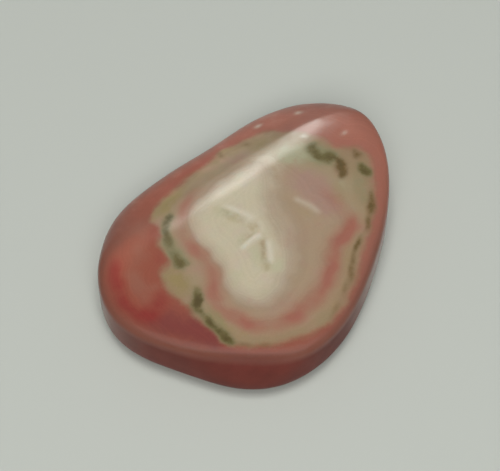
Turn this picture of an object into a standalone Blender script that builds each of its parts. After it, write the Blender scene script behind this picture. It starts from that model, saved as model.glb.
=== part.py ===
"""A polished slice of banded rhodochrosite, in metres, +Z up: one tumbled slab resting on a flat underside.

The slab is the unit body of a norm. Each bounding face measures how far a direction gets towards it, and a
high power mean of those measures rounds the edges where the faces meet. The origin is on the resting flat,
under the middle of the stone's box, with the long side along X.
"""

from collections import namedtuple

import bmesh
import bpy
import numpy as np

MM = 0.001

# Outline: distance from the slab's middle to its edge, every 22.5 degrees anticlockwise from +X
OUTLINE_RADII = (
    17.7 * MM, 18.7 * MM, 15.7 * MM, 12.2 * MM, 11.5 * MM, 12.2 * MM, 13.6 * MM, 15.0 * MM,
    16.4 * MM, 15.7 * MM, 16.0 * MM, 16.0 * MM, 14.7 * MM, 13.5 * MM, 13.6 * MM, 15.1 * MM,
)

# Profile, measured from the slab's middle plane
TOP_HEIGHT = 3.4 * MM
BOTTOM_DEPTH = 3.5 * MM
REST_DEPTH = 3.42 * MM
TOP_SHARPNESS = 12.0
BOTTOM_SHARPNESS = 3.5

# Faces worn or cut on the slab. The bearing is where a face looks, anticlockwise from +X, the tilt is that
# of its normal from +Z, and the distance is from the slab's middle.
Face = namedtuple("Face", "bearing tilt distance sharpness")
WORN_FACES = (
    Face(bearing=89.0, tilt=28.0, distance=5.6 * MM, sharpness=16.0),
    Face(bearing=73.0, tilt=26.0, distance=6.75 * MM, sharpness=16.0),
    Face(bearing=229.0, tilt=60.0, distance=14.3 * MM, sharpness=26.0),
)

# Shallow lens-shaped fissures in the pale core, from end to end over the top face
Fissure = namedtuple("Fissure", "start end width depth")
FISSURES = (
    Fissure(start=(-1.0 * MM, 3.1 * MM), end=(1.0 * MM, -0.6 * MM), width=0.80 * MM, depth=0.20 * MM),
    Fissure(start=(-2.7 * MM, -2.5 * MM), end=(1.0 * MM, -2.3 * MM), width=0.75 * MM, depth=0.18 * MM),
    Fissure(start=(0.5 * MM, -3.0 * MM), end=(-1.8 * MM, -5.8 * MM), width=0.80 * MM, depth=0.20 * MM),
    Fissure(start=(5.3 * MM, -0.6 * MM), end=(6.4 * MM, -4.3 * MM), width=0.80 * MM, depth=0.18 * MM),
)
CUTTER_HEIGHT = 0.5 * MM
CUTTER_SEGMENTS = 16
CUTTER_RINGS = 8

# Mesh density: points round each ring, rings from the top to the rest face, and how strongly the rings
# crowd where the profile turns
RING_POINTS = 88
RING_COUNT = 30
TURNING_WEIGHT = 2.6 * MM
PROFILE_SAMPLES = 4000

STONE_COLOUR = (0.50, 0.24, 0.17, 1.0)
STONE_ROUGHNESS = 0.2


def clear_scene():
    for obj in list(bpy.data.objects):
        bpy.data.objects.remove(obj, do_unlink=True)


def outline_radius(angle):
    """The smooth closed curve through the outline radii, as their Fourier series."""
    count = len(OUTLINE_RADII)
    terms = np.fft.rfft(OUTLINE_RADII) / count
    radius = np.full_like(angle, terms[0].real)
    for order in range(1, len(terms)):
        share = 1.0 if 2 * order == count else 2.0
        wave = terms[order] * np.exp(1j * order * angle)
        radius += share * wave.real
    return radius


def face_normal(face):
    bearing = np.radians(face.bearing)
    tilt = np.radians(face.tilt)
    return np.array([np.cos(bearing) * np.sin(tilt), np.sin(bearing) * np.sin(tilt), np.cos(tilt)])


def surface_points(directions):
    """The points of the stone's surface along rows of directions from the slab's middle."""
    x, y, z = directions.T
    side = np.hypot(x, y) / outline_radius(np.arctan2(y, x))
    up = np.maximum(z, 0.0) / TOP_HEIGHT
    down = np.maximum(-z, 0.0) / BOTTOM_DEPTH
    sharpness = np.where(z > 0.0, TOP_SHARPNESS, BOTTOM_SHARPNESS)
    norm = (side**sharpness + up**sharpness + down**sharpness) ** (1.0 / sharpness)
    for face in WORN_FACES:
        toward = np.maximum(directions @ face_normal(face), 0.0) / face.distance
        norm = (norm**face.sharpness + toward**face.sharpness) ** (1.0 / face.sharpness)
    return directions / norm[:, None]


def ring_slopes():
    """The slope, as an angle down from straight up, at which each ring leaves the slab's middle."""
    angle = np.linspace(0.0, np.pi, PROFILE_SAMPLES)
    mean_radius = np.mean(OUTLINE_RADII)
    rise = np.where(angle < np.pi / 2, TOP_HEIGHT, BOTTOM_DEPTH)
    directions = np.stack([mean_radius * np.sin(angle), np.zeros_like(angle), rise * np.cos(angle)], axis=1)
    up, down = np.maximum(np.cos(angle), 0.0), np.maximum(-np.cos(angle), 0.0)
    sharpness = np.where(angle < np.pi / 2, TOP_SHARPNESS, BOTTOM_SHARPNESS)
    norm = (np.sin(angle) ** sharpness + up**sharpness + down**sharpness) ** (1.0 / sharpness)
    profile = directions / norm[:, None]
    steps = np.diff(profile, axis=0)
    turning = np.abs(np.diff(np.unwrap(np.arctan2(steps[:, 2], steps[:, 0])), append=0.0))
    turning[-1] = 0.0
    measure = np.concatenate([[0.0], np.cumsum(np.linalg.norm(steps, axis=1) + TURNING_WEIGHT * turning)])
    rest = np.argmax(profile[:, 2] < -REST_DEPTH)
    return np.interp(np.linspace(0.0, measure[rest], RING_COUNT + 1), measure, angle)


def stone_rings():
    """Rings of points, from just under the top's middle down to the edge of the rest face."""
    turn = np.linspace(0.0, 2.0 * np.pi, RING_POINTS, endpoint=False)
    radius = outline_radius(turn)
    rings = []
    for slope in ring_slopes()[1:]:
        rise = TOP_HEIGHT if slope < np.pi / 2 else BOTTOM_DEPTH
        reach = radius * np.sin(slope)
        height = np.full_like(turn, rise * np.cos(slope))
        directions = np.stack([reach * np.cos(turn), reach * np.sin(turn), height], axis=1)
        rings.append(surface_points(directions))
    rings[-1][:, 2] = -REST_DEPTH
    return np.array(rings)


def box_shift(points):
    """The move that puts the origin on the rest face, under the middle of the points' box."""
    middle = (points.min(axis=0) + points.max(axis=0)) / 2.0
    return np.array([-middle[0], -middle[1], REST_DEPTH])


def stone_mesh(rings, shift):
    mesh = bpy.data.meshes.new("stone")
    bm = bmesh.new()
    summit = surface_points(np.array([[0.0, 0.0, 1.0]]))[0]
    top = bm.verts.new(summit + shift)
    loops = [[bm.verts.new(point + shift) for point in ring] for ring in rings]
    for index in range(RING_POINTS):
        after = (index + 1) % RING_POINTS
        bm.faces.new((top, loops[0][index], loops[0][after]))
        for upper, lower in zip(loops, loops[1:]):
            bm.faces.new((upper[index], lower[index], lower[after], upper[after]))
    bm.faces.new(reversed(loops[-1]))
    bm.to_mesh(mesh)
    bm.free()
    mesh.shade_smooth()
    mesh.set_sharp_from_angle(angle=np.radians(40.0))
    return mesh


def stone_material():
    material = bpy.data.materials.new("banded_stone")
    material.use_nodes = True
    shader = material.node_tree.nodes["Principled BSDF"]
    shader.inputs["Base Color"].default_value = STONE_COLOUR
    shader.inputs["Roughness"].default_value = STONE_ROUGHNESS
    shader.inputs["Metallic"].default_value = 0.0
    return material


def top_point(x, y):
    """The top surface over a plan position measured from the slab's middle."""
    height = TOP_HEIGHT
    for _ in range(20):
        point = surface_points(np.array([[x, y, height]]))[0]
        height = point[2] * np.hypot(x, y) / max(np.hypot(point[0], point[1]), 1e-9)
    return np.array([x, y, height])


def fissure_cutter(name, fissure, shift):
    """A flattened ellipsoid that dips into the top face along one fissure."""
    start, end = top_point(*fissure.start), top_point(*fissure.end)
    along = end - start
    length = np.linalg.norm(along)
    mesh = bpy.data.meshes.new(name)
    bm = bmesh.new()
    bmesh.ops.create_uvsphere(bm, u_segments=CUTTER_SEGMENTS, v_segments=CUTTER_RINGS, radius=0.5)
    bmesh.ops.scale(bm, vec=(length, fissure.width, 2.0 * CUTTER_HEIGHT), verts=bm.verts)
    bm.to_mesh(mesh)
    bm.free()
    cutter = bpy.data.objects.new(name, mesh)
    middle = top_point(*(np.add(fissure.start, fissure.end) / 2.0)) + shift
    cutter.location = middle + np.array([0.0, 0.0, CUTTER_HEIGHT - fissure.depth])
    cutter.rotation_euler = (0.0, -np.arcsin(along[2] / length), np.arctan2(along[1], along[0]))
    cutter.hide_render = True
    cutter.display_type = "WIRE"
    bpy.context.scene.collection.objects.link(cutter)
    return cutter


def cut_fissures(stone, shift):
    for number, fissure in enumerate(FISSURES, start=1):
        cutter = fissure_cutter(f"fissure_cutter_{number}", fissure, shift)
        cut = stone.modifiers.new(f"fissure_{number}", "BOOLEAN")
        cut.operation = "DIFFERENCE"
        cut.solver = "EXACT"
        cut.object = cutter


def main():
    clear_scene()
    rings = stone_rings()
    shift = box_shift(rings.reshape(-1, 3))
    stone = bpy.data.objects.new("stone", stone_mesh(rings, shift))
    stone.data.materials.append(stone_material())
    bpy.context.scene.collection.objects.link(stone)
    cut_fissures(stone, shift)


main()
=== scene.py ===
"""The look of a polished slice of banded rhodochrosite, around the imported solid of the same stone.

The stone is modelled again as a fine mesh of the same rounded body, with shallow fissures, pits and the
faint waves that hand polishing leaves. Its bands follow a few closed curves that are stored on the mesh as
distances in millimetres, and the material turns those distances into colour.
"""

from collections import namedtuple

import bmesh
import bpy
import numpy as np
from mathutils import Matrix, Vector, noise


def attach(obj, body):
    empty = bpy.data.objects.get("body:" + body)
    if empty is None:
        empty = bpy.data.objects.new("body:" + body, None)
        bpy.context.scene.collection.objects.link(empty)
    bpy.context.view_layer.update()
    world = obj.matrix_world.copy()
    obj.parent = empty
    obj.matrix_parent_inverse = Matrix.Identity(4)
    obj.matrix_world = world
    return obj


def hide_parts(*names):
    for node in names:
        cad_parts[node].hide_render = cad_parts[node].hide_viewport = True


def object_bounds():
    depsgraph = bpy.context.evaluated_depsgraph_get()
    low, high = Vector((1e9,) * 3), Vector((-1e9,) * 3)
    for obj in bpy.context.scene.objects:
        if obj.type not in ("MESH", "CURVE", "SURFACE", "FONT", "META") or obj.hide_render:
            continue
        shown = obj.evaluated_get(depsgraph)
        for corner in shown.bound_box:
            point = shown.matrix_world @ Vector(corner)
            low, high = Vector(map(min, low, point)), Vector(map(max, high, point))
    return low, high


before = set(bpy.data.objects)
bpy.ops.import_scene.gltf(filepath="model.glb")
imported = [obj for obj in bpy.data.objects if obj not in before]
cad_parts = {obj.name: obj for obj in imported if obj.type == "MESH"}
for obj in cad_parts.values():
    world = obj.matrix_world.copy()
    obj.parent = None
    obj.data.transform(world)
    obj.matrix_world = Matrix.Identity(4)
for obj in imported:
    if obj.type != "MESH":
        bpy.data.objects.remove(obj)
cad_low, cad_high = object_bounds()

MM = 0.001

# Body of the stone, in millimetres from the slab's middle, as in the solid. The outline's radii are taken
# every 22.5 degrees, anticlockwise from +X.
OUTLINE_RADII = (
    17.7, 18.7, 15.7, 12.2, 11.5, 12.2, 13.6, 15.0, 16.4, 15.7, 16.0, 16.0, 14.7, 13.5, 13.6, 15.1,
)
TOP_HEIGHT = 3.4
BOTTOM_DEPTH = 3.5
REST_DEPTH = 3.42
TOP_SHARPNESS = 12.0
BOTTOM_SHARPNESS = 3.5

# Faces worn on the slab, as in the solid: first the two of the bevel, then the one on the thick end's wall
Face = namedtuple("Face", "bearing tilt distance sharpness")
BEVEL_FACES = 2
WORN_FACES = (
    Face(bearing=89.0, tilt=28.0, distance=5.6, sharpness=16.0),
    Face(bearing=73.0, tilt=26.0, distance=6.75, sharpness=16.0),
    Face(bearing=229.0, tilt=60.0, distance=14.3, sharpness=26.0),
)

# Healed fissures: the way each one runs over the top face, how wide its vein of pale spar is, which is partly
# a painted highlight on the lit side of the groove, how deep the groove on its right-hand side dips, which is
# darkened partly by stain and partly by painted shade, and how strongly both are coloured
Fissure = namedtuple("Fissure", "path vein depth strength")
FISSURES = (
    Fissure(path=((-0.6, 3.1), (0.5, 1.3), (1.1, -0.5)), vein=0.33, depth=0.045, strength=1.0),
    Fissure(path=((1.15, -0.5), (1.0, -1.3), (0.5, -2.0)), vein=0.28, depth=0.02, strength=0.4),
    Fissure(path=((0.6, -2.0), (-0.8, -2.0), (-2.3, -2.2)), vein=0.33, depth=0.04, strength=0.9),
    Fissure(path=((0.5, -2.6), (-0.2, -4.1), (-1.1, -5.4)), vein=0.33, depth=0.045, strength=1.0),
    Fissure(path=((5.5, -0.6), (6.1, -2.2), (6.5, -4.0)), vein=0.33, depth=0.04, strength=0.4),
)

# How far to the right of its vein a groove lies, how wide it is, how unevenly it dips, how far towards both
# ends a fissure keeps its full depth, and by how many straight steps its bowed way is measured
GROOVE_OFFSET = 0.44
GROOVE_WIDTH = 0.40
GROOVE_UNEVENNESS = 0.4
END_FULLNESS = 1.6
PATH_STEPS = 12

# Small pits: their middles on the top face, their radii and how deep they dip
Pit = namedtuple("Pit", "x y radius depth")
PITS = (
    Pit(x=11.3, y=4.5, radius=0.35, depth=0.02),
    Pit(x=13.9, y=7.8, radius=0.40, depth=0.05),
    Pit(x=9.9, y=9.6, radius=0.35, depth=0.06),
    Pit(x=14.6, y=2.2, radius=0.35, depth=0.04),
)
PIT_STEEPNESS = 2.0

# The ridge between the flat top and the worn bevel, rubbed a little rounder than the solid's. Its spread, and
# the height where it starts and fades in, are shares of the top's height.
RIDGE_DEPTH = 0.055
RIDGE_SPREAD = 0.12
RIDGE_START = 0.75
RIDGE_FADE = 0.15

# Faint waves of a hand-polished face. They sink below the solid's surface, since the noise hardly ever passes
# its crest, and they fade in over the foot of the slab.
WAVE_LENGTH = 4.5
WAVE_HEIGHT = 0.035
RIPPLE_LENGTH = 1.6
RIPPLE_HEIGHT = 0.006
NOISE_CREST = 0.7
FOOT_HEIGHT = 0.4
FOOT_FADE = 1.2

# How far noise moves the pattern, the veins and the grooves sideways, how large its features are, and where
# in the noise each kind is read, so that no two are alike
PATTERN_WANDER = 0.22
VEIN_WANDER = 0.12
GROOVE_WANDER = 0.1
PATTERN_WANDER_LENGTH = 1.3
GROOVE_WANDER_LENGTH = 0.9
WAVE_PLACE = (3.1, 7.7, 1.9)
RIPPLE_PLACE = (9.2, 0.4, 5.3)
GROOVE_PLACE = (0.6, 4.1, 8.8)
PATTERN_PLACES = ((2.0, 6.0, 1.0), (7.0, 3.0, 5.0))

# Fine mesh: points round each ring, rings from top to bottom, how strongly they crowd at the rims, and how
# densely they lie on the underside, which starts at this share of the rest depth
RING_POINTS = 480
RING_COUNT = 200
TURNING_WEIGHT = 3.0
UNDERSIDE_DENSITY = 0.35
UNDERSIDE_START = 0.9
PROFILE_SAMPLES = 6000

# Closed curves of the pattern on the top face, clockwise, in millimetres from the slab's middle
TAN_EDGE = (
    (-7.0, 6.1), (-6.1, 7.1), (-4.6, 7.9), (-2.2, 8.3), (0.2, 8.8), (2.4, 8.9), (4.4, 9.5), (6.2, 9.1),
    (8.6, 8.6), (10.1, 7.6), (10.5, 6.4), (11.6, 5.2), (12.3, 3.6), (12.8, 1.6), (13.6, 0.6), (14.6, -0.3),
    (14.8, -1.6), (14.3, -2.9), (13.3, -4.0), (12.6, -5.2), (11.3, -6.7), (9.6, -8.1), (7.6, -9.3),
    (5.6, -10.8), (3.6, -12.3), (1.4, -13.4), (-0.8, -13.8), (-3.2, -13.6), (-5.4, -12.9), (-7.4, -11.8),
    (-9.1, -10.5), (-9.9, -8.9), (-10.0, -7.2), (-10.4, -5.4), (-10.2, -4.2), (-10.6, -2.4), (-10.6, -0.8),
    (-10.2, 0.4), (-9.3, 0.9), (-8.5, 1.3), (-8.2, 2.4), (-8.2, 3.4), (-7.3, 4.1), (-6.8, 5.0),
)
PINK_RING = (
    (-1.2, 6.1), (1.6, 6.6), (4.6, 6.7), (6.8, 5.6), (7.7, 3.8), (7.9, 2.0), (8.2, 0.2), (8.5, -1.8),
    (8.5, -3.8), (8.7, -5.4), (8.1, -6.7), (6.8, -7.3), (5.4, -7.5), (4.2, -8.3), (3.0, -9.3), (1.6, -10.4),
    (0.2, -10.9), (-2.0, -11.1), (-4.3, -11.1), (-5.9, -10.2), (-7.0, -9.0), (-7.7, -7.6), (-8.1, -6.0),
    (-7.7, -4.6), (-6.8, -3.6), (-6.0, -2.4), (-5.7, -0.8), (-5.5, 1.0), (-5.3, 2.8), (-4.3, 4.5),
    (-2.9, 5.5),
)
CORE_EDGE = (
    (-3.4, 4.3), (-1.4, 4.9), (1.2, 5.3), (3.8, 5.2), (5.3, 4.5), (5.5, 3.4), (4.9, 2.2), (4.0, 1.0),
    (3.2, -0.2), (2.6, -1.6), (2.3, -3.0), (1.7, -4.6), (0.6, -6.0), (-0.8, -7.2), (-2.6, -8.0), (-4.2, -8.0),
    (-5.4, -7.0), (-5.9, -5.4), (-5.6, -3.8), (-5.0, -2.4), (-4.9, -0.5), (-4.9, 1.5), (-4.4, 3.2),
)
CURVE_STEPS = 10

# A point's place across the bands is 0 on the tan edge, 1 on the pink ring and this on the core's edge
CORE_PLACE = 2.0

# The least gap between two curves, which keeps the shares of the way between them finite
LEAST_GAP = 0.001

# For each millimetre down through the slab, the bands narrow by this share and shift by these millimetres, so
# that they lean a little
NARROWING = 0.012
LEAN = (-0.10, 0.06)

# Soft patches of tint. Each is an oval with its middle, its half-length and half-width, the bearing of its
# long side in degrees, and its strength in the middle.
Patch = namedtuple("Patch", "x y length width bearing strength")
PATCHES = {
    "olive_specks": (
        Patch(-5.7, 5.1, 0.9, 0.5, 35, 0.8),
        Patch(-6.6, 4.1, 1.0, 0.5, 50, 0.9),
        Patch(-7.0, 3.2, 0.7, 0.5, 60, 0.7),
        Patch(-7.4, 2.3, 0.7, 0.5, 70, 0.45),
        Patch(-7.8, 0.7, 0.9, 0.6, 70, 1.1),
        Patch(-7.4, 0.0, 0.6, 0.5, 0, 0.5),
        Patch(-8.5, -3.3, 0.7, 0.6, 60, 0.6),
        Patch(-9.3, -4.1, 0.9, 0.6, 35, 1.15),
        Patch(-9.7, -5.4, 0.8, 0.4, 80, 0.55),
        Patch(-9.6, -6.8, 0.9, 0.45, 85, 1.0),
        Patch(-9.5, -8.1, 0.8, 0.4, 90, 0.7),
        Patch(-9.4, -9.1, 0.8, 0.42, 100, 0.9),
        Patch(11.0, 2.8, 0.8, 0.5, 0, 0.8),
        Patch(10.4, 2.3, 0.9, 0.45, 120, 0.5),
        Patch(10.8, 1.6, 0.8, 0.55, 110, 0.95),
        Patch(11.6, 0.7, 0.75, 0.65, 60, 1.4),
        Patch(13.2, -2.4, 0.7, 0.5, 90, 1.1),
        Patch(13.4, -3.0, 0.6, 0.5, 60, 1.0),
    ),
    "brown_specks": (
        Patch(12.0, -0.4, 0.7, 0.5, 70, 0.8),
        Patch(11.6, -1.1, 0.9, 0.65, 60, 1.0),
        Patch(11.1, -1.7, 0.7, 0.5, 40, 0.6),
        Patch(13.9, -0.7, 0.8, 0.6, 75, 0.9),
        Patch(11.9, -5.4, 0.9, 0.45, 60, 0.7),
        Patch(10.9, -6.4, 0.8, 0.5, 45, 1.2),
        Patch(-9.3, -4.3, 0.8, 0.5, 35, 0.9),
        Patch(-9.5, -6.9, 0.9, 0.4, 85, 0.6),
        Patch(-9.4, -8.9, 0.8, 0.4, 95, 0.5),
        Patch(-5.7, 5.2, 0.7, 0.4, 35, 0.6),
        Patch(9.4, -7.7, 0.9, 0.45, 35, 0.9),
        Patch(6.9, -8.9, 1.1, 0.35, 25, 1.0),
        Patch(5.3, -10.0, 1.0, 0.4, 40, 0.6),
        Patch(4.3, -11.1, 0.9, 0.4, 50, 0.7),
        Patch(2.8, -12.0, 0.9, 0.45, 35, 0.6),
        Patch(0.6, -13.1, 1.4, 0.35, 20, 0.5),
        Patch(-8.6, -10.6, 0.9, 0.35, 130, 0.6),
        Patch(-7.0, -11.9, 1.0, 0.35, 150, 0.5),
        Patch(4.1, 8.8, 0.9, 0.4, 70, 0.6),
        Patch(6.8, 7.9, 0.6, 0.4, 90, 0.5),
        Patch(0.0, 9.0, 1.0, 0.3, 0, 0.4),
        Patch(-10.3, -0.5, 0.4, 0.9, 0, 0.3),
    ),
    "pale_green": (
        Patch(8.2, 3.7, 1.5, 1.1, 120, 0.9),
        Patch(9.6, 3.0, 1.4, 1.2, 120, 0.8),
        Patch(10.6, -2.6, 1.3, 0.9, 60, 0.35),
    ),
    "core_shade": (
        Patch(2.4, -2.2, 3.2, 1.0, 75, 0.9),
        Patch(4.6, 1.0, 1.6, 0.9, 45, 0.25),
        Patch(-0.8, -1.2, 0.9, 0.7, 0, 0.35),
        Patch(-0.4, -3.6, 1.3, 0.8, 60, 0.5),
    ),
    "cream": (
        Patch(6.5, 4.3, 2.0, 1.2, 130, 0.9),
        Patch(5.2, 1.9, 1.4, 1.0, 60, 0.6),
    ),
    # Tan beside the fissures' grooves, partly stain and partly painted shade
    "fissure_stain_and_shade": (
        Patch(-0.6, 1.3, 1.6, 0.55, 115, 0.6),
        Patch(0.4, -0.9, 0.6, 0.5, 0, 0.7),
        Patch(-1.1, -1.6, 1.1, 0.5, 0, 0.4),
        Patch(-0.1, -3.0, 0.6, 0.5, 60, 1.0),
        Patch(-0.9, -4.3, 1.0, 0.45, 65, 0.5),
        Patch(-1.6, -5.3, 0.6, 0.5, 60, 0.8),
        Patch(5.4, -2.7, 1.3, 0.5, 110, 0.8),
    ),
    "green_haze": (
        Patch(10.2, 2.0, 1.6, 1.2, 120, 0.8),
        Patch(11.4, 0.9, 1.5, 1.0, 110, 0.9),
        Patch(-7.5, 1.8, 1.6, 0.8, 90, 0.9),
        Patch(-7.6, 0.2, 0.9, 0.8, 90, 0.5),
        Patch(-9.0, -6.6, 2.0, 0.6, 90, 0.5),
        Patch(12.0, -3.4, 1.6, 1.2, 40, 0.5),
        Patch(11.2, -5.2, 1.2, 0.8, 50, 0.4),
        Patch(-0.5, -13.2, 1.8, 0.5, 0, 0.3),
    ),
    "khaki": (
        Patch(-4.2, 7.0, 2.6, 0.9, 20, 1.0),
        Patch(-9.3, -1.2, 1.9, 1.3, 90, 0.9),
        Patch(-9.0, -6.6, 1.8, 0.8, 92, 0.7),
        Patch(-8.2, -9.4, 1.4, 0.7, 120, 0.4),
        Patch(9.4, -3.2, 1.6, 1.0, 60, 0.5),
        Patch(7.4, 6.9, 1.6, 1.0, 0, 0.5),
        Patch(5.0, -9.4, 2.2, 0.7, 40, 0.4),
        Patch(5.0, 9.0, 1.2, 0.6, 0, 0.5),
    ),
    "deep_red": (
        Patch(-13.0, 4.0, 1.4, 0.8, 50, 0.7),
        Patch(-14.1, 1.8, 1.7, 0.8, 72, 1.0),
        Patch(-14.6, -0.6, 1.5, 0.8, 95, 0.9),
        Patch(-13.8, -2.4, 1.2, 1.1, 130, 1.0),
        Patch(-11.9, -2.0, 1.1, 0.9, 30, 0.9),
        Patch(-9.2, 1.9, 0.8, 0.6, 90, 0.5),
        Patch(-7.7, 4.7, 0.9, 0.5, 30, 0.4),
        Patch(15.3, 7.3, 2.0, 1.0, 120, 0.35),
        Patch(1.0, 9.5, 6.5, 0.6, 5, 0.5),
    ),
    # Painted light: these patches lighten the bevel, which tilts away from the lamps
    "painted_bevel_light": (
        Patch(-12.6, 4.6, 2.6, 1.5, 55, 0.5),
        Patch(-9.0, 6.6, 3.0, 1.8, 40, 0.8),
        Patch(-4.0, 8.6, 3.6, 1.8, 10, 0.9),
        Patch(2.0, 9.2, 3.6, 2.0, 5, 0.8),
        Patch(7.5, 9.4, 3.4, 2.4, 0, 0.8),
        Patch(12.5, 8.8, 2.6, 2.0, 130, 0.7),
        Patch(15.4, 3.0, 3.0, 1.2, 95, 0.3),
    ),
    "amber": (
        Patch(-12.5, 0.8, 2.2, 0.9, 80, 1.0),
        Patch(-11.4, -0.4, 0.7, 0.5, 0, 0.6),
        Patch(-8.6, 6.0, 2.2, 1.6, 60, 0.6),
        Patch(-11.3, 6.3, 1.4, 0.6, 20, 0.6),
        Patch(-10.5, 3.4, 1.8, 1.3, 60, 0.5),
    ),
    "maroon": (
        Patch(-12.0, -5.2, 3.2, 1.8, 115, 1.0),
        Patch(-10.7, -8.2, 2.6, 1.0, 105, 0.8),
        Patch(-14.2, -3.0, 1.6, 0.9, 110, 0.5),
        Patch(-8.5, -12.6, 3.0, 0.9, 145, 0.7),
    ),
    "ring_tint": (
        Patch(-1.0, -11.1, 6.0, 2.2, 0, 1.0),
        Patch(4.6, -8.2, 3.2, 1.8, 40, 0.8),
        Patch(7.6, -7.0, 1.8, 1.2, 0, 0.8),
        Patch(-7.4, -8.2, 2.6, 1.4, 115, 0.9),
        Patch(8.5, -3.6, 2.6, 1.2, 90, 0.45),
        Patch(-5.7, 0.4, 4.4, 1.2, 90, 0.75),
        Patch(-7.2, -4.6, 2.4, 1.4, 100, 0.9),
        Patch(-3.0, 5.4, 2.6, 1.2, 30, 0.7),
    ),
    "mauve": (
        Patch(7.8, -0.4, 2.6, 1.7, 100, 1.0),
        Patch(7.6, -3.2, 2.2, 1.3, 90, 0.9),
        Patch(4.6, 6.8, 1.6, 0.8, 0, 0.6),
        Patch(-3.4, -9.4, 2.6, 1.0, 0, 0.4),
        Patch(3.2, -5.0, 2.2, 1.4, 60, 0.3),
    ),
    "matt": (
        Patch(15.3, 5.2, 1.3, 1.2, 0, 1.2),
        Patch(-8.6, 4.6, 3.2, 1.6, 40, 1.0),
        Patch(-11.5, 2.6, 2.4, 2.0, 40, 0.8),
    ),
    # Painted glints: pale spots on the pits
    "painted_pit_glints": (
        Patch(11.3, 4.5, 0.36, 0.30, 0, 1.3),
        Patch(13.9, 7.8, 0.45, 0.30, 0, 0.7),
        Patch(9.9, 9.6, 0.40, 0.28, 0, 0.8),
        Patch(14.6, 2.2, 0.40, 0.25, 0, 0.4),
    ),
}

# The deep red on the wall of the slab's thick end, partly its own colour and partly painted shade: the
# bearing it looks to, how many degrees round from there it reaches and how many it fades over, and how many
# millimetres below the top it starts and fades in
WALL_BEARING = -125.0
WALL_REACH = 68.0
WALL_EDGE = 30.0
WALL_START = 0.45
WALL_FADE = 1.0

# Painted shade on the rim above that wall, which reaches further round
RIM_REACH = 115.0
RIM_EDGE = 40.0
RIM_START = 0.04
RIM_FADE = 0.3


def outline_radius(angle):
    """The smooth closed curve through the outline radii, as their Fourier series."""
    count = len(OUTLINE_RADII)
    terms = np.fft.rfft(OUTLINE_RADII) / count
    radius = np.full_like(angle, terms[0].real)
    for order in range(1, len(terms)):
        share = 1.0 if 2 * order == count else 2.0
        wave = terms[order] * np.exp(1j * order * angle)
        radius += share * wave.real
    return radius


def face_normal(face):
    bearing = np.radians(face.bearing)
    tilt = np.radians(face.tilt)
    return np.array([np.cos(bearing) * np.sin(tilt), np.sin(bearing) * np.sin(tilt), np.cos(tilt)])


def surface_points(directions):
    """The points of the stone's surface along rows of directions from the slab's middle."""
    x, y, z = directions.T
    side = np.hypot(x, y) / outline_radius(np.arctan2(y, x))
    up = np.maximum(z, 0.0) / TOP_HEIGHT
    down = np.maximum(-z, 0.0) / BOTTOM_DEPTH
    sharpness = np.where(z > 0.0, TOP_SHARPNESS, BOTTOM_SHARPNESS)
    norm = (side**sharpness + up**sharpness + down**sharpness) ** (1.0 / sharpness)
    for face in WORN_FACES:
        toward = np.maximum(directions @ face_normal(face), 0.0) / face.distance
        norm = (norm**face.sharpness + toward**face.sharpness) ** (1.0 / face.sharpness)
    return directions / norm[:, None]


def ring_slopes():
    """The slope, as an angle down from straight up, at which each ring leaves the slab's middle."""
    angle = np.linspace(0.0, np.pi, PROFILE_SAMPLES)
    mean_radius = np.mean(OUTLINE_RADII)
    rise = np.where(angle < np.pi / 2, TOP_HEIGHT, BOTTOM_DEPTH)
    up, down = np.maximum(np.cos(angle), 0.0), np.maximum(-np.cos(angle), 0.0)
    sharpness = np.where(angle < np.pi / 2, TOP_SHARPNESS, BOTTOM_SHARPNESS)
    norm = (np.sin(angle) ** sharpness + up**sharpness + down**sharpness) ** (1.0 / sharpness)
    profile = np.stack([mean_radius * np.sin(angle), rise * np.cos(angle)], axis=1) / norm[:, None]
    steps = np.diff(profile, axis=0)
    turning = np.abs(np.diff(np.unwrap(np.arctan2(steps[:, 1], steps[:, 0])), prepend=0.0))
    density = np.where(profile[1:, 1] < -UNDERSIDE_START * REST_DEPTH, UNDERSIDE_DENSITY, 1.0)
    length = (np.linalg.norm(steps, axis=1) + TURNING_WEIGHT * turning) * density
    measure = np.concatenate([[0.0], np.cumsum(length)])
    return np.interp(np.linspace(0.0, measure[-1], RING_COUNT + 1), measure, angle)[1:-1]


def stone_grid():
    """Surface points (rings, points round each, 3), in millimetres from the slab's middle."""
    turn = np.linspace(0.0, 2.0 * np.pi, RING_POINTS, endpoint=False)
    radius = outline_radius(turn)
    rings = []
    for slope in ring_slopes():
        rise = TOP_HEIGHT if slope < np.pi / 2 else BOTTOM_DEPTH
        reach = radius * np.sin(slope)
        height = np.full_like(turn, rise * np.cos(slope))
        directions = np.stack([reach * np.cos(turn), reach * np.sin(turn), height], axis=1)
        rings.append(surface_points(directions))
    return np.array(rings)


def grid_normals(grid):
    """Outward unit normals of the ring grid."""
    around = np.roll(grid, -1, axis=1) - np.roll(grid, 1, axis=1)
    down = np.gradient(grid, axis=0)
    normals = np.cross(down, around)
    return normals / np.linalg.norm(normals, axis=2, keepdims=True)


def noise_field(points, size, place):
    """Smooth noise between about -1 and 1 with features of this size, at rows of points."""
    return np.array([noise.noise(Vector(point) / size + Vector(place)) for point in points])


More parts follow.
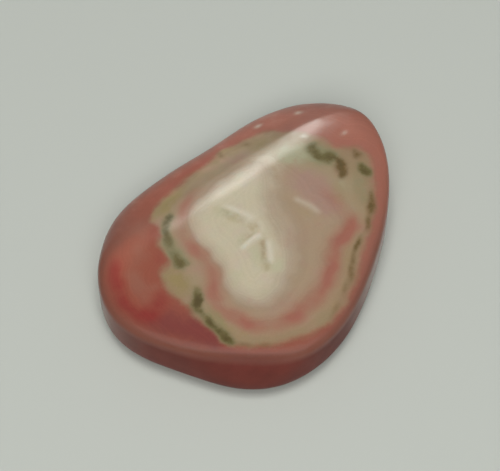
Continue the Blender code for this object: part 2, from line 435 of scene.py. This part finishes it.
def path_coordinates(plan, path):
    """Share of the way along a bowed path, and the distance to its left, negative to its right."""
    first, middle, last = np.asarray(path, float)
    t = np.linspace(0.0, 1.0, PATH_STEPS + 1)[:, None]
    knots = first * (1.0 - t) * (1.0 - 2.0 * t) + middle * 4.0 * t * (1.0 - t) + last * t * (2.0 * t - 1.0)
    nearest = np.full(len(plan), np.inf)
    share = np.zeros(len(plan))
    side = np.zeros(len(plan))
    for number, (start, end) in enumerate(zip(knots, knots[1:])):
        edge = end - start
        offset = plan - start
        along = np.clip(offset @ edge / (edge @ edge), 0.0, 1.0)
        gap = np.linalg.norm(offset - along[:, None] * edge, axis=1)
        closer = gap < nearest
        nearest = np.where(closer, gap, nearest)
        share = np.where(closer, (number + along) / PATH_STEPS, share)
        left = edge[0] * offset[:, 1] - edge[1] * offset[:, 0]
        side = np.where(closer, np.copysign(gap, left), side)
    return share, side


def fissure_ends(share):
    """1 along the middle of a fissure, falling to 0 at both of its ends."""
    return np.clip(4.0 * share * (1.0 - share) * END_FULLNESS, 0.0, 1.0)


def groove_shape(side):
    """1 along the middle of a fissure's groove, falling to 0 on both sides."""
    return np.exp(-(((side + GROOVE_OFFSET) / GROOVE_WIDTH) ** 2))


def ridge_share(points):
    """1 on the ridge between the flat top and the bevel, falling to 0 on both sides."""
    top = points[:, 2] / TOP_HEIGHT
    faces = WORN_FACES[:BEVEL_FACES]
    bevel = np.max([points @ face_normal(face) / face.distance for face in faces], axis=0)
    near = np.exp(-(((top - bevel) / RIDGE_SPREAD) ** 2))
    return near * np.clip((top - RIDGE_START) / RIDGE_FADE, 0.0, 1.0)


def relief(points):
    """How far each point of the body moves along its normal, in millimetres."""
    plan = points[:, :2]
    on_top = points[:, 2] > 0.0
    above_foot = np.clip((points[:, 2] + REST_DEPTH - FOOT_HEIGHT) / FOOT_FADE, 0.0, 1.0)
    waves = noise_field(points, WAVE_LENGTH, WAVE_PLACE) - NOISE_CREST
    ripples = noise_field(points, RIPPLE_LENGTH, RIPPLE_PLACE) - NOISE_CREST
    move = (waves * WAVE_HEIGHT + ripples * RIPPLE_HEIGHT) * above_foot
    move -= RIDGE_DEPTH * ridge_share(points)
    wander = noise_field(points, GROOVE_WANDER_LENGTH, GROOVE_PLACE)
    for fissure in FISSURES:
        share, side = path_coordinates(plan + GROOVE_WANDER * wander[:, None], fissure.path)
        dip = fissure.depth * groove_shape(side) * fissure_ends(share)
        move -= np.where(on_top, dip * (1.0 + GROOVE_UNEVENNESS * wander), 0.0)
    for pit in PITS:
        near = np.hypot(plan[:, 0] - pit.x, plan[:, 1] - pit.y) / pit.radius
        move -= np.where(on_top, pit.depth * np.exp(-(near**2) * PIT_STEEPNESS), 0.0)
    return move


def closed_curve(points):
    """The smooth closed curve through given points."""
    here = np.asarray(points, float)
    before = np.roll(here, 1, axis=0)
    after = np.roll(here, -1, axis=0)
    beyond = np.roll(here, -2, axis=0)
    t = np.linspace(0.0, 1.0, CURVE_STEPS, endpoint=False)[:, None, None]
    linear = (after - before) * t
    square = (2.0 * before - 5.0 * here + 4.0 * after - beyond) * t**2
    cube = (3.0 * here - before - 3.0 * after + beyond) * t**3
    curve = 0.5 * (2.0 * here + linear + square + cube)
    return curve.transpose(1, 0, 2).reshape(-1, 2)


def inside_distance(plan, points):
    """Distance of each plan point from a closed curve, positive inside it."""
    starts = closed_curve(points)
    ends = np.roll(starts, -1, axis=0)
    nearest = np.full(len(plan), np.inf)
    inside = np.zeros(len(plan), bool)
    for start, end in zip(starts, ends):
        edge = end - start
        offset = plan - start
        share = np.clip(offset @ edge / (edge @ edge), 0.0, 1.0)
        gap = offset - share[:, None] * edge
        nearest = np.minimum(nearest, (gap**2).sum(axis=1))
        if start[1] != end[1]:
            spans = (start[1] > plan[:, 1]) != (end[1] > plan[:, 1])
            crossing = start[0] + (plan[:, 1] - start[1]) * edge[0] / edge[1]
            inside ^= spans & (plan[:, 0] < crossing)
    return np.where(inside, 1.0, -1.0) * np.sqrt(nearest)


def patch_field(plan, patches):
    """The summed strength of soft ovals at each plan point."""
    total = np.zeros(len(plan))
    for patch in patches:
        bearing = np.radians(patch.bearing)
        offset = plan - np.array([patch.x, patch.y])
        along = offset @ np.array([np.cos(bearing), np.sin(bearing)]) / patch.length
        across = offset @ np.array([-np.sin(bearing), np.cos(bearing)]) / patch.width
        total += patch.strength * np.exp(-(along**2) - across**2)
    return total


def band_places(tan, ring, core):
    """Where each point lies across the bands, from its distances inside the three curves.

    It is the distance itself outside the tan edge, a share of the way from curve to curve between them, and
    inside the core it goes on in millimetres.
    """
    outer_share = tan / np.maximum(tan - ring, LEAST_GAP)
    inner_share = 1.0 + ring / np.maximum(ring - core, LEAST_GAP)
    place = np.where(tan < 0.0, tan, np.where(ring < 0.0, outer_share, inner_share))
    return np.where(core > 0.0, CORE_PLACE + core, place)


def fissure_fields(points, wander):
    """How much each point shows a fissure's pale vein, partly a painted highlight, and the darkening of its
    groove, partly stain and partly painted shade.
    """
    plan = points[:, :2] + VEIN_WANDER * wander
    on_top = points[:, 2] > 0.0
    vein, groove = np.zeros(len(points)), np.zeros(len(points))
    for fissure in FISSURES:
        share, side = path_coordinates(plan, fissure.path)
        ends = fissure_ends(share) * on_top * fissure.strength
        vein = np.maximum(vein, ends * np.exp(-((side / fissure.vein) ** 2)))
        groove = np.maximum(groove, ends * groove_shape(side))
    return {"fissure_vein_and_highlight": vein, "fissure_shade": groove}


def wall_fields(points, depth):
    """How much each point belongs to the thick end's wall, to the other walls and to the painted shade on the
    rim.
    """
    bearing = np.degrees(np.arctan2(points[:, 1], points[:, 0]))
    from_front = np.abs((bearing - WALL_BEARING + 180.0) % 360.0 - 180.0)
    down = np.clip((depth - WALL_START) / WALL_FADE, 0.0, 1.0)
    # The thick end's wall, whose dark red is partly painted shade
    front_wall = down * np.clip((WALL_REACH - from_front) / WALL_EDGE, 0.0, 1.0)
    # Painted shade on the rim above the thick end's wall
    rim = np.clip((depth - RIM_START) / RIM_FADE, 0.0, 1.0)
    rim_painted_shade = rim * np.clip((RIM_REACH - from_front) / RIM_EDGE, 0.0, 1.0)
    return {"front_wall": front_wall, "other_wall": down - front_wall, "rim_painted_shade": rim_painted_shade}


def pattern_fields(points):
    """The pattern's values at each point, by name."""
    depth = TOP_HEIGHT - points[:, 2]
    wander = [noise_field(points, PATTERN_WANDER_LENGTH, place) for place in PATTERN_PLACES]
    wander = np.stack(wander, axis=1)
    plan = points[:, :2] * (1.0 + NARROWING * depth[:, None]) - depth[:, None] * np.array(LEAN)
    plan = plan + PATTERN_WANDER * wander
    tan = inside_distance(plan, TAN_EDGE)
    ring = inside_distance(plan, PINK_RING)
    core = inside_distance(plan, CORE_EDGE)
    fields = {"tan_edge": tan, "band": band_places(tan, ring, core), "ring": ring}
    for name, patches in PATCHES.items():
        fields[name] = patch_field(plan, patches)
    return fields | fissure_fields(points, wander) | wall_fields(points, depth)


def grid_faces(rings):
    """Faces between the rings, and round the top and bottom points that follow them in the list."""
    top = rings * RING_POINTS
    bottom = top + 1
    last = (rings - 1) * RING_POINTS
    faces = []
    for index in range(RING_POINTS):
        after = (index + 1) % RING_POINTS
        faces.append((top, index, after))
        for ring in range(rings - 1):
            upper, lower = ring * RING_POINTS, (ring + 1) * RING_POINTS
            faces.append((upper + index, lower + index, lower + after, upper + after))
        faces.append((last + after, last + index, bottom))
    return faces


def stone_mesh():
    """The fine stone as a mesh in metres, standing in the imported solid's box."""
    grid = stone_grid()
    up_and_down = np.array([[0.0, 0.0, 1.0], [0.0, 0.0, -1.0]])
    points = np.vstack([grid.reshape(-1, 3), surface_points(up_and_down)])
    normals = np.vstack([grid_normals(grid).reshape(-1, 3), up_and_down])
    middle = (points.min(axis=0) + points.max(axis=0)) / 2.0
    shift = np.array([-middle[0], -middle[1], REST_DEPTH])
    shaped = points + normals * relief(points)[:, None]
    shaped[:, 2] = np.maximum(shaped[:, 2], -REST_DEPTH)
    centre = (Vector(cad_low) + Vector(cad_high)) / 2.0
    place = np.array([centre.x, centre.y, cad_low[2]])
    mesh = bpy.data.meshes.new("polished_stone")
    mesh.from_pydata((shaped + shift) * MM + place, [], grid_faces(len(grid)))
    for name, values in pattern_fields(points).items():
        attribute = mesh.attributes.new(name, "FLOAT", "POINT")
        attribute.data.foreach_set("value", values.astype(np.float32))
    mesh.shade_smooth()
    return mesh, shift


# Noise in the material: the size of its features in millimetres or, for the layers, along their own value,
# its octaves, and how rough they are
Noise = namedtuple("Noise", "size detail roughness")
BROAD = Noise(size=2.2, detail=3.0, roughness=0.55)
MEDIUM = Noise(size=0.7, detail=4.0, roughness=0.6)
FINE = Noise(size=0.2, detail=4.0, roughness=0.6)
FAINT = Noise(size=3.4, detail=2.0, roughness=0.55)
LAYERS = Noise(size=0.3125, detail=3.0, roughness=0.6)


class Shader:
    """Short calls that add nodes to one material."""

    def __init__(self, name):
        self.material = bpy.data.materials.new(name)
        self.material.use_nodes = True
        self.tree = self.material.node_tree
        self.principled = self.tree.nodes["Principled BSDF"]

    def link(self, source, target):
        """Feed a socket with a number, a colour or another node's output."""
        if isinstance(source, (int, float)):
            target.default_value = source
        elif isinstance(source, tuple):
            target.default_value = (*source, 1.0)
        else:
            self.tree.links.new(source, target)

    def attribute(self, name):
        node = self.tree.nodes.new("ShaderNodeAttribute")
        node.attribute_name = name
        return node.outputs["Fac"]

    def position(self):
        """Object coordinates in millimetres."""
        place = self.tree.nodes.new("ShaderNodeTexCoord")
        scale = self.tree.nodes.new("ShaderNodeVectorMath")
        scale.operation = "SCALE"
        scale.inputs["Scale"].default_value = 1.0 / MM
        self.tree.links.new(place.outputs["Object"], scale.inputs[0])
        return scale.outputs[0]

    def noise_node(self, kind):
        node = self.tree.nodes.new("ShaderNodeTexNoise")
        node.inputs["Scale"].default_value = 1.0 / kind.size
        node.inputs["Detail"].default_value = kind.detail
        node.inputs["Roughness"].default_value = kind.roughness
        return node

    def noise(self, position, kind):
        """Noise around zero, between about -0.5 and 0.5."""
        node = self.noise_node(kind)
        self.link(position, node.inputs["Vector"])
        return self.math("SUBTRACT", node.outputs["Fac"], 0.5)

    def layers(self, value):
        """Uneven layers around zero, between about -0.5 and 0.5, along one value."""
        node = self.noise_node(LAYERS)
        node.noise_dimensions = "1D"
        self.link(value, node.inputs["W"])
        return self.math("SUBTRACT", node.outputs["Fac"], 0.5)

    def math(self, operation, first, second=0.0, third=0.0):
        node = self.tree.nodes.new("ShaderNodeMath")
        node.operation = operation
        self.link(first, node.inputs[0])
        self.link(second, node.inputs[1])
        self.link(third, node.inputs[2])
        return node.outputs[0]

    def step(self, value, low, high):
        """0 below low, 1 above high, smooth between."""
        node = self.tree.nodes.new("ShaderNodeMapRange")
        node.interpolation_type = "SMOOTHSTEP"
        node.inputs["From Min"].default_value = low
        node.inputs["From Max"].default_value = high
        self.link(value, node.inputs["Value"])
        return node.outputs["Result"]

    def mix(self, share, first, second, blend="MIX"):
        """Two colours mixed. The node's colour sockets come after those for numbers and vectors."""
        node = self.tree.nodes.new("ShaderNodeMix")
        node.data_type = "RGBA"
        node.blend_type = blend
        self.link(share, node.inputs[0])
        self.link(first, node.inputs[6])
        self.link(second, node.inputs[7])
        return node.outputs[2]

    def over(self, below, colour, share, strength=1.0):
        """A colour laid over another where the share says."""
        return self.mix(self.math("MULTIPLY", share, strength), below, colour)

    def lit(self, colour, light):
        """A colour made lighter or darker by a factor."""
        return self.mix(1.0, colour, light, blend="MULTIPLY")

    def ramp(self, value, stops):
        """Colours at places along a value, given as (place, colour)."""
        low, high = stops[0][0], stops[-1][0]
        share = self.math("DIVIDE", self.math("SUBTRACT", value, low), high - low)
        node = self.tree.nodes.new("ShaderNodeValToRGB")
        elements = node.color_ramp.elements
        while len(elements) < len(stops):
            elements.new(1.0)
        for element, (place, colour) in zip(elements, stops):
            element.position = (place - low) / (high - low)
            element.color = (*colour, 1.0)
        self.link(share, node.inputs["Fac"])
        return node.outputs["Color"]


# Colours of the stone, with the painted shade and highlights among them marked, as linear reflectance
CORAL = (0.370, 0.143, 0.100)
ROSE = (0.305, 0.086, 0.052)
DEEP_RED = (0.265, 0.036, 0.028)
AMBER = (0.305, 0.112, 0.072)
MAROON = (0.220, 0.052, 0.043)
# Painted shade on the rim above the thick end's wall
RIM_SHADE_MAUVE = (0.160, 0.072, 0.052)
# Dark red of the thick end's wall, partly its own colour and partly painted shade
WALL_RED_AND_SHADE = (0.150, 0.033, 0.024)
KHAKI = (0.310, 0.235, 0.104)
OLIVE = (0.150, 0.120, 0.044)
DARK_OLIVE = (0.098, 0.073, 0.024)
BROWN = (0.160, 0.100, 0.036)
GREEN = (0.262, 0.250, 0.136)
RING_PINK = (0.365, 0.142, 0.098)
MAUVE = (0.390, 0.248, 0.188)
TAN_OUTER = (0.305, 0.205, 0.120)
TAN_MIDDLE = (0.335, 0.243, 0.140)
TAN_PALE = (0.370, 0.282, 0.172)
INNER_TAN = (0.388, 0.284, 0.183)
CREAM_EDGE = (0.445, 0.355, 0.255)
CREAM = (0.520, 0.442, 0.318)
CREAM_PALE = (0.570, 0.503, 0.358)
CREAM_PINK = (0.565, 0.470, 0.360)
CREAM_GREEN = (0.515, 0.478, 0.318)
CORE_SHADE = (0.430, 0.345, 0.240)
PALE_GREEN = (0.390, 0.375, 0.238)
BLUSH = (0.410, 0.235, 0.180)
# Pale spar of the veins, also used for the painted glints on the pits and, in part, painted highlights along
# the veins
WHITE_SPAR_AND_GLINT = (0.640, 0.590, 0.470)
# Darkening in the fissures' grooves, partly stain and partly painted shade
FISSURE_SHADE = (0.310, 0.225, 0.125)
# Tan beside the fissures, partly stain and partly painted shade
STAIN_AND_SHADE = (0.385, 0.295, 0.165)

# Colours across the bands, by the places that the mesh stores
BAND_COLOURS = (
    (0.0, TAN_OUTER), (0.35, TAN_MIDDLE), (0.75, TAN_PALE), (1.3, INNER_TAN), (1.65, INNER_TAN),
    (CORE_PLACE, CREAM_EDGE), (2.8, CREAM), (3.5, CREAM_PALE),
)

# How far noise moves the change from rose to coral, the bands, the pink ring, the tan edge and the layers in
# the pink and in the bands. It is a share of a band for the bands and their layers, and else millimetres.
CORAL_WANDER = 6.0
BAND_WANDER = 0.30
RING_WANDER = 0.8
EDGE_WANDER = 0.7
PINK_LAYER_WANDER = 0.8
BAND_LAYER_WANDER = 0.5

# How strongly noise breaks up the edges of the patches, how much of each noise the specks take, and how
# strongly it breaks up their dark middles
RAGGEDNESS = 1.8
SPECK_MEDIUM = 0.8
SPECK_FINE = 0.3
MIDDLE_RAGGEDNESS = 2.2

# How fast the pink ring fades on both sides, and how strong and how uneven it is
RING_FALL = 0.85
RING_STRENGTH = 0.95
RING_UNEVENNESS = 1.5

# How much the layers show in the pink, in the rim's bands and in the core
PINK_CONTRAST = 0.25
RIM_CONTRAST = 0.24
CORE_CONTRAST = 0.08

# Light and dark in the colours: painted light on the worn bevel, unevenness over the walls, and the fine
# grain
PAINTED_BEVEL_LIGHT = 0.45
WALL_UNEVENNESS = 0.6
GRAIN = 0.16

# Polish: roughness of the body and what the thick end's wall and the grain add to it, and weight of the clear
# coat and what that wall and the matt patches take from it
BODY_ROUGHNESS = 0.42
WALL_ROUGHNESS = 0.15
GRAIN_ROUGHNESS = 0.1
COAT_WEIGHT = 0.6
WALL_COAT_LOSS = 0.5
MATT_COAT_LOSS = 0.75
STONE_SETTINGS = {
    "Coat Roughness": 0.17,
    "Coat IOR": 1.5,
    "IOR": 1.6,
    "Specular IOR Level": 0.12,
    "Subsurface Weight": 0.3,
    "Subsurface Radius": (1.0, 0.45, 0.30),
    "Subsurface Scale": 1.2 * MM,
}
BUMP_STRENGTH = 0.25
BUMP_HEIGHT = 0.02 * MM
BUMP_MEDIUM_SHARE = 0.6


def tint(s, below, colour, patches, ragged, low=0.0, high=1.0, strength=1.0):
    """A colour laid over another on soft patches, with their edges broken up by noise."""
    field = s.math("MULTIPLY", s.attribute(patches), s.math("MULTIPLY_ADD", ragged, RAGGEDNESS, 1.0))
    return s.over(below, colour, s.step(field, low, high), strength)


def pink_zone(s, position, broad):
    """The outer pink, deeper and redder towards the thick end, with darker red on the wall there, partly
    painted shade, and painted shade on its rim.
    """
    across = s.tree.nodes.new("ShaderNodeSeparateXYZ")
    s.link(position, across.inputs[0])
    along = s.math("MULTIPLY_ADD", broad, CORAL_WANDER, across.outputs["X"])
    colour = s.mix(s.step(along, low=-12.0, high=8.0), ROSE, CORAL)
    colour = tint(s, colour, MAROON, "maroon", broad, high=1.1)
    colour = tint(s, colour, AMBER, "amber", broad, low=0.1)
    colour = tint(s, colour, DEEP_RED, "deep_red", broad, high=1.3)
    layers = s.layers(s.math("MULTIPLY_ADD", broad, PINK_LAYER_WANDER, s.attribute("tan_edge")))
    colour = s.lit(colour, s.math("MULTIPLY_ADD", layers, PINK_CONTRAST, 1.0))
    colour = s.over(colour, ROSE, s.attribute("other_wall"), strength=0.35)
    blotches = s.math("MULTIPLY", s.attribute("other_wall"), s.step(broad, low=0.0, high=0.28))
    colour = s.over(colour, MAUVE, blotches, strength=0.2)
    # Painted shade on the rim above the thick end's wall
    colour = s.over(colour, RIM_SHADE_MAUVE, s.attribute("rim_painted_shade"), strength=0.7)
    # Dark red on the thick end's wall, partly its own colour and partly painted shade
    return s.over(colour, WALL_RED_AND_SHADE, s.attribute("front_wall"))


def pink_ring(s, below, broad, faint):
    """The pink ring over the bands: full on its curve where it is tinted, and uneven along it."""
    ring = s.math("MULTIPLY_ADD", broad, RING_WANDER, s.attribute("ring"))
    fall = s.math("MULTIPLY", s.math("MULTIPLY", ring, ring), -RING_FALL)
    tinted = s.step(s.attribute("ring_tint"), low=0.0, high=1.0)
    share = s.math("MULTIPLY", s.math("EXPONENT", fall), tinted)
    uneven = s.math("MULTIPLY_ADD", faint, RING_UNEVENNESS, RING_STRENGTH)
    return s.over(below, RING_PINK, s.math("MULTIPLY", share, uneven))


def banded_zone(s, broad, medium, faint):
    """The tan rim, the pink ring and the cream core, by their place between the closed curves."""
    band = s.math("MULTIPLY_ADD", broad, BAND_WANDER, s.attribute("band"))
    in_core = s.step(band, low=1.9, high=3.0)
    pinker = s.math("MULTIPLY", in_core, s.step(broad, low=-0.02, high=0.28))
    greener = s.math("MULTIPLY", in_core, s.step(faint, low=-0.02, high=0.22))
    blush = s.math("MULTIPLY", s.step(broad, low=0.0, high=0.3), s.math("SUBTRACT", 1.0, in_core))
    colour = s.ramp(band, BAND_COLOURS)
    colour = s.over(colour, CREAM_PINK, pinker)
    colour = s.over(colour, CREAM_GREEN, greener)
    colour = tint(s, colour, CORE_SHADE, "core_shade", medium, strength=0.8)
    colour = tint(s, colour, CREAM, "cream", medium, strength=0.8)
    colour = s.over(colour, BLUSH, blush, strength=0.5)
    colour = tint(s, colour, MAUVE, "mauve", medium)
    colour = pink_ring(s, colour, broad, faint)
    colour = tint(s, colour, KHAKI, "khaki", medium, low=0.1)
    colour = tint(s, colour, GREEN, "green_haze", medium, strength=0.8)
    colour = tint(s, colour, PALE_GREEN, "pale_green", medium, strength=0.9)
    layers = s.layers(s.math("MULTIPLY_ADD", faint, BAND_LAYER_WANDER, band))
    contrast = s.math("MULTIPLY_ADD", in_core, CORE_CONTRAST - RIM_CONTRAST, RIM_CONTRAST)
    return s.lit(colour, s.math("MULTIPLY_ADD", layers, contrast, 1.0))


def specks(s, below, medium, fine):
    """Brown and olive specks with a green halo and dark middles."""
    speckled = s.math("MULTIPLY_ADD", fine, SPECK_FINE, s.math("MULTIPLY", medium, SPECK_MEDIUM))
    colour = tint(s, below, GREEN, "olive_specks", medium, high=0.9, strength=0.6)
    colour = tint(s, colour, BROWN, "brown_specks", speckled, high=1.2)
    colour = tint(s, colour, OLIVE, "olive_specks", speckled, high=1.1)
    both = s.math("ADD", s.attribute("olive_specks"), s.attribute("brown_specks"))
    middles = s.step(s.math("MULTIPLY_ADD", medium, MIDDLE_RAGGEDNESS, both), low=0.7, high=2.1)
    return s.over(colour, DARK_OLIVE, middles)


def fissures_and_pits(s, below, medium):
    """Tan patches and darker grooves, partly stain and partly painted shade, with the pale spar of the veins,
    partly a painted highlight, and painted glints on the pits over them.
    """
    # Tan beside the fissures, partly stain and partly painted shade
    colour = tint(s, below, STAIN_AND_SHADE, "fissure_stain_and_shade", medium, high=1.3, strength=0.7)
    # Darkening in the grooves, partly stain and partly painted shade
    shade = s.math("MULTIPLY", s.attribute("fissure_shade"), s.step(medium, low=-0.25, high=0.3))
    colour = s.over(colour, FISSURE_SHADE, shade, strength=0.4)
    # Pale spar of the veins, partly a painted highlight on the lit side of each groove
    colour = s.over(colour, WHITE_SPAR_AND_GLINT, s.attribute("fissure_vein_and_highlight"), strength=0.85)
    # Painted glints on the pits
    return s.over(colour, WHITE_SPAR_AND_GLINT, s.attribute("painted_pit_glints"), strength=0.8)


def light_and_dark(s, broad, fine):
    """How light the colours are: painted light on the worn bevel, uneven over the walls, with a fine grain.
    """
    # Painted light on the bevel
    light = s.math("MULTIPLY_ADD", s.attribute("painted_bevel_light"), PAINTED_BEVEL_LIGHT, 1.0)
    walls = s.math("ADD", s.attribute("front_wall"), s.attribute("other_wall"))
    light = s.math("MULTIPLY_ADD", s.math("MULTIPLY", walls, broad), WALL_UNEVENNESS, light)
    return s.math("MULTIPLY_ADD", fine, GRAIN, light)


def polish(s, medium, fine):
    """The gloss of a tumbled stone, duller on the thick end's wall and on the matt patches."""
    for name, value in STONE_SETTINGS.items():
        s.principled.inputs[name].default_value = value
    wall = s.attribute("front_wall")
    roughness = s.math("MULTIPLY_ADD", wall, WALL_ROUGHNESS, BODY_ROUGHNESS)
    s.link(s.math("MULTIPLY_ADD", fine, GRAIN_ROUGHNESS, roughness), s.principled.inputs["Roughness"])
    coat = s.math("MULTIPLY_ADD", wall, -WALL_COAT_LOSS, COAT_WEIGHT)
    matt = s.step(s.attribute("matt"), low=0.0, high=0.9)
    kept = s.math("MULTIPLY_ADD", matt, -MATT_COAT_LOSS, 1.0)
    s.link(s.math("MULTIPLY", coat, kept), s.principled.inputs["Coat Weight"])

    bump = s.tree.nodes.new("ShaderNodeBump")
    bump.inputs["Strength"].default_value = BUMP_STRENGTH
    bump.inputs["Distance"].default_value = BUMP_HEIGHT
    s.link(s.math("MULTIPLY_ADD", medium, BUMP_MEDIUM_SHARE, fine), bump.inputs["Height"])
    s.link(bump.outputs["Normal"], s.principled.inputs["Normal"])
    s.link(bump.outputs["Normal"], s.principled.inputs["Coat Normal"])


def stone_material():
    s = Shader("banded_stone")
    position = s.position()
    broad = s.noise(position, BROAD)
    medium = s.noise(position, MEDIUM)
    fine = s.noise(position, FINE)
    faint = s.noise(position, FAINT)
    tan_edge = s.math("MULTIPLY_ADD", medium, EDGE_WANDER, s.attribute("tan_edge"))
    outer = pink_zone(s, position, broad)
    inner = banded_zone(s, broad, medium, faint)
    colour = s.mix(s.step(tan_edge, low=-0.45, high=0.55), outer, inner)
    colour = specks(s, colour, medium, fine)
    colour = fissures_and_pits(s, colour, medium)
    colour = s.lit(colour, light_and_dark(s, broad, fine))
    s.link(colour, s.principled.inputs["Base Color"])
    polish(s, medium, fine)
    return s.material


def add_stone():
    mesh, shift = stone_mesh()
    stone = bpy.data.objects.new("polished_stone", mesh)
    bpy.context.scene.collection.objects.link(stone)
    mesh.materials.append(stone_material())
    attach(stone, "root")
    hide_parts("stone")
    return shift


# Table and camera: sizes and distances in metres, lens in millimetres, and where the camera aims, in
# millimetres to the right of the slab's middle, away from the camera and up
FLOOR_SIZE = 1.2
FLOOR_COLOUR = (0.560, 0.585, 0.535)
FLOOR_ROUGHNESS = 0.9
FLOOR_SHINE = 0.1
CAMERA_BEARING = -39.0
CAMERA_ELEVATION = 58.0
CAMERA_DISTANCE = 0.18
CAMERA_CLIP = 0.01
CAMERA_LENS = 129.6
SENSOR_WIDTH = 36.0
AIM_RIGHT = 0.5
AIM_AWAY = 0.53
AIM_UP = 0.1

# Lamps that face the stone. Each has its bearing and elevation, its distance and size in metres, and its
# brightness, which gives its power together with its area. Those for the shine show only in the polish, and
# the others only light the surfaces.
Lamp = namedtuple("Lamp", "name bearing elevation distance width height brightness colour for_shine")
WHITE = (1.0, 1.0, 1.0)
LAMPS = (
    Lamp("window", 58.5, 33.0, 0.5, 0.045, 0.34, brightness=12.5, colour=(1.0, 1.0, 0.93), for_shine=True),
    Lamp("panel", -129.0, 75.0, 0.7, 0.6, 0.6, brightness=0.8, colour=WHITE, for_shine=True),
    Lamp("ceiling", -129.0, 80.0, 0.7, 0.26, 0.26, brightness=10.6, colour=WHITE, for_shine=False),
    Lamp("fill", -129.0, 50.0, 0.7, 0.45, 0.45, brightness=3.9, colour=WHITE, for_shine=False),
)
ROOM_COLOUR = (0.97, 1.0, 1.0)
ROOM_STRENGTH = 0.12


def add_floor():
    mesh = bpy.data.meshes.new("table_top")
    bm = bmesh.new()
    bmesh.ops.create_grid(bm, x_segments=1, y_segments=1, size=FLOOR_SIZE / 2)
    bm.to_mesh(mesh)
    bm.free()
    floor = bpy.data.objects.new("table_top", mesh)
    floor.location.z = cad_low[2]
    bpy.context.scene.collection.objects.link(floor)
    s = Shader("pale_table")
    s.principled.inputs["Base Color"].default_value = (*FLOOR_COLOUR, 1.0)
    s.principled.inputs["Roughness"].default_value = FLOOR_ROUGHNESS
    s.principled.inputs["Specular IOR Level"].default_value = FLOOR_SHINE
    mesh.materials.append(s.material)


def direction(bearing, elevation):
    """A unit vector, with the bearing anticlockwise from +X."""
    b, e = np.radians(bearing), np.radians(elevation)
    return Vector((np.cos(b) * np.cos(e), np.sin(b) * np.cos(e), np.sin(e)))


def add_lamp(lamp):
    """A rectangular area light that faces the stone."""
    data = bpy.data.lights.new(lamp.name, "AREA")
    data.shape = "RECTANGLE"
    data.size = lamp.width
    data.size_y = lamp.height
    data.energy = lamp.brightness * lamp.width * lamp.height * np.pi
    data.color = lamp.colour
    light = bpy.data.objects.new(lamp.name, data)
    toward = direction(lamp.bearing, lamp.elevation)
    light.location = toward * lamp.distance
    light.rotation_euler = toward.to_track_quat("Z", "Y").to_euler()
    light.visible_diffuse = not lamp.for_shine
    light.visible_glossy = lamp.for_shine
    bpy.context.scene.collection.objects.link(light)


def add_room_light():
    world = bpy.data.worlds.new("room")
    world.use_nodes = True
    background = world.node_tree.nodes["Background"]
    background.inputs["Color"].default_value = (*ROOM_COLOUR, 1.0)
    background.inputs["Strength"].default_value = ROOM_STRENGTH
    bpy.context.scene.world = world


def add_camera(shift):
    """The camera looks down at the stone from the photo's angle, aimed a little past the slab's middle."""
    away = direction(CAMERA_BEARING + 90.0, 0.0)
    right = direction(CAMERA_BEARING, 0.0)
    back = direction(CAMERA_BEARING - 90.0, CAMERA_ELEVATION)
    slab_middle = Vector(shift) * MM + Vector((0.0, 0.0, cad_low[2]))
    target = slab_middle + (right * AIM_RIGHT + away * AIM_AWAY + Vector((0.0, 0.0, AIM_UP))) * MM
    data = bpy.data.cameras.new("camera")
    data.lens = CAMERA_LENS
    data.sensor_width = SENSOR_WIDTH
    data.sensor_fit = "HORIZONTAL"
    data.clip_start = CAMERA_CLIP
    camera = bpy.data.objects.new("camera", data)
    up = back.cross(right)
    axes = Matrix((right, up, back)).transposed().to_4x4()
    camera.matrix_world = Matrix.Translation(target + back * CAMERA_DISTANCE) @ axes
    bpy.context.scene.collection.objects.link(camera)
    bpy.context.scene.camera = camera


def main():
    shift = add_stone()
    add_floor()
    for lamp in LAMPS:
        add_lamp(lamp)
    add_room_light()
    add_camera(shift)
    bpy.context.scene.view_settings.view_transform = "Standard"


main()
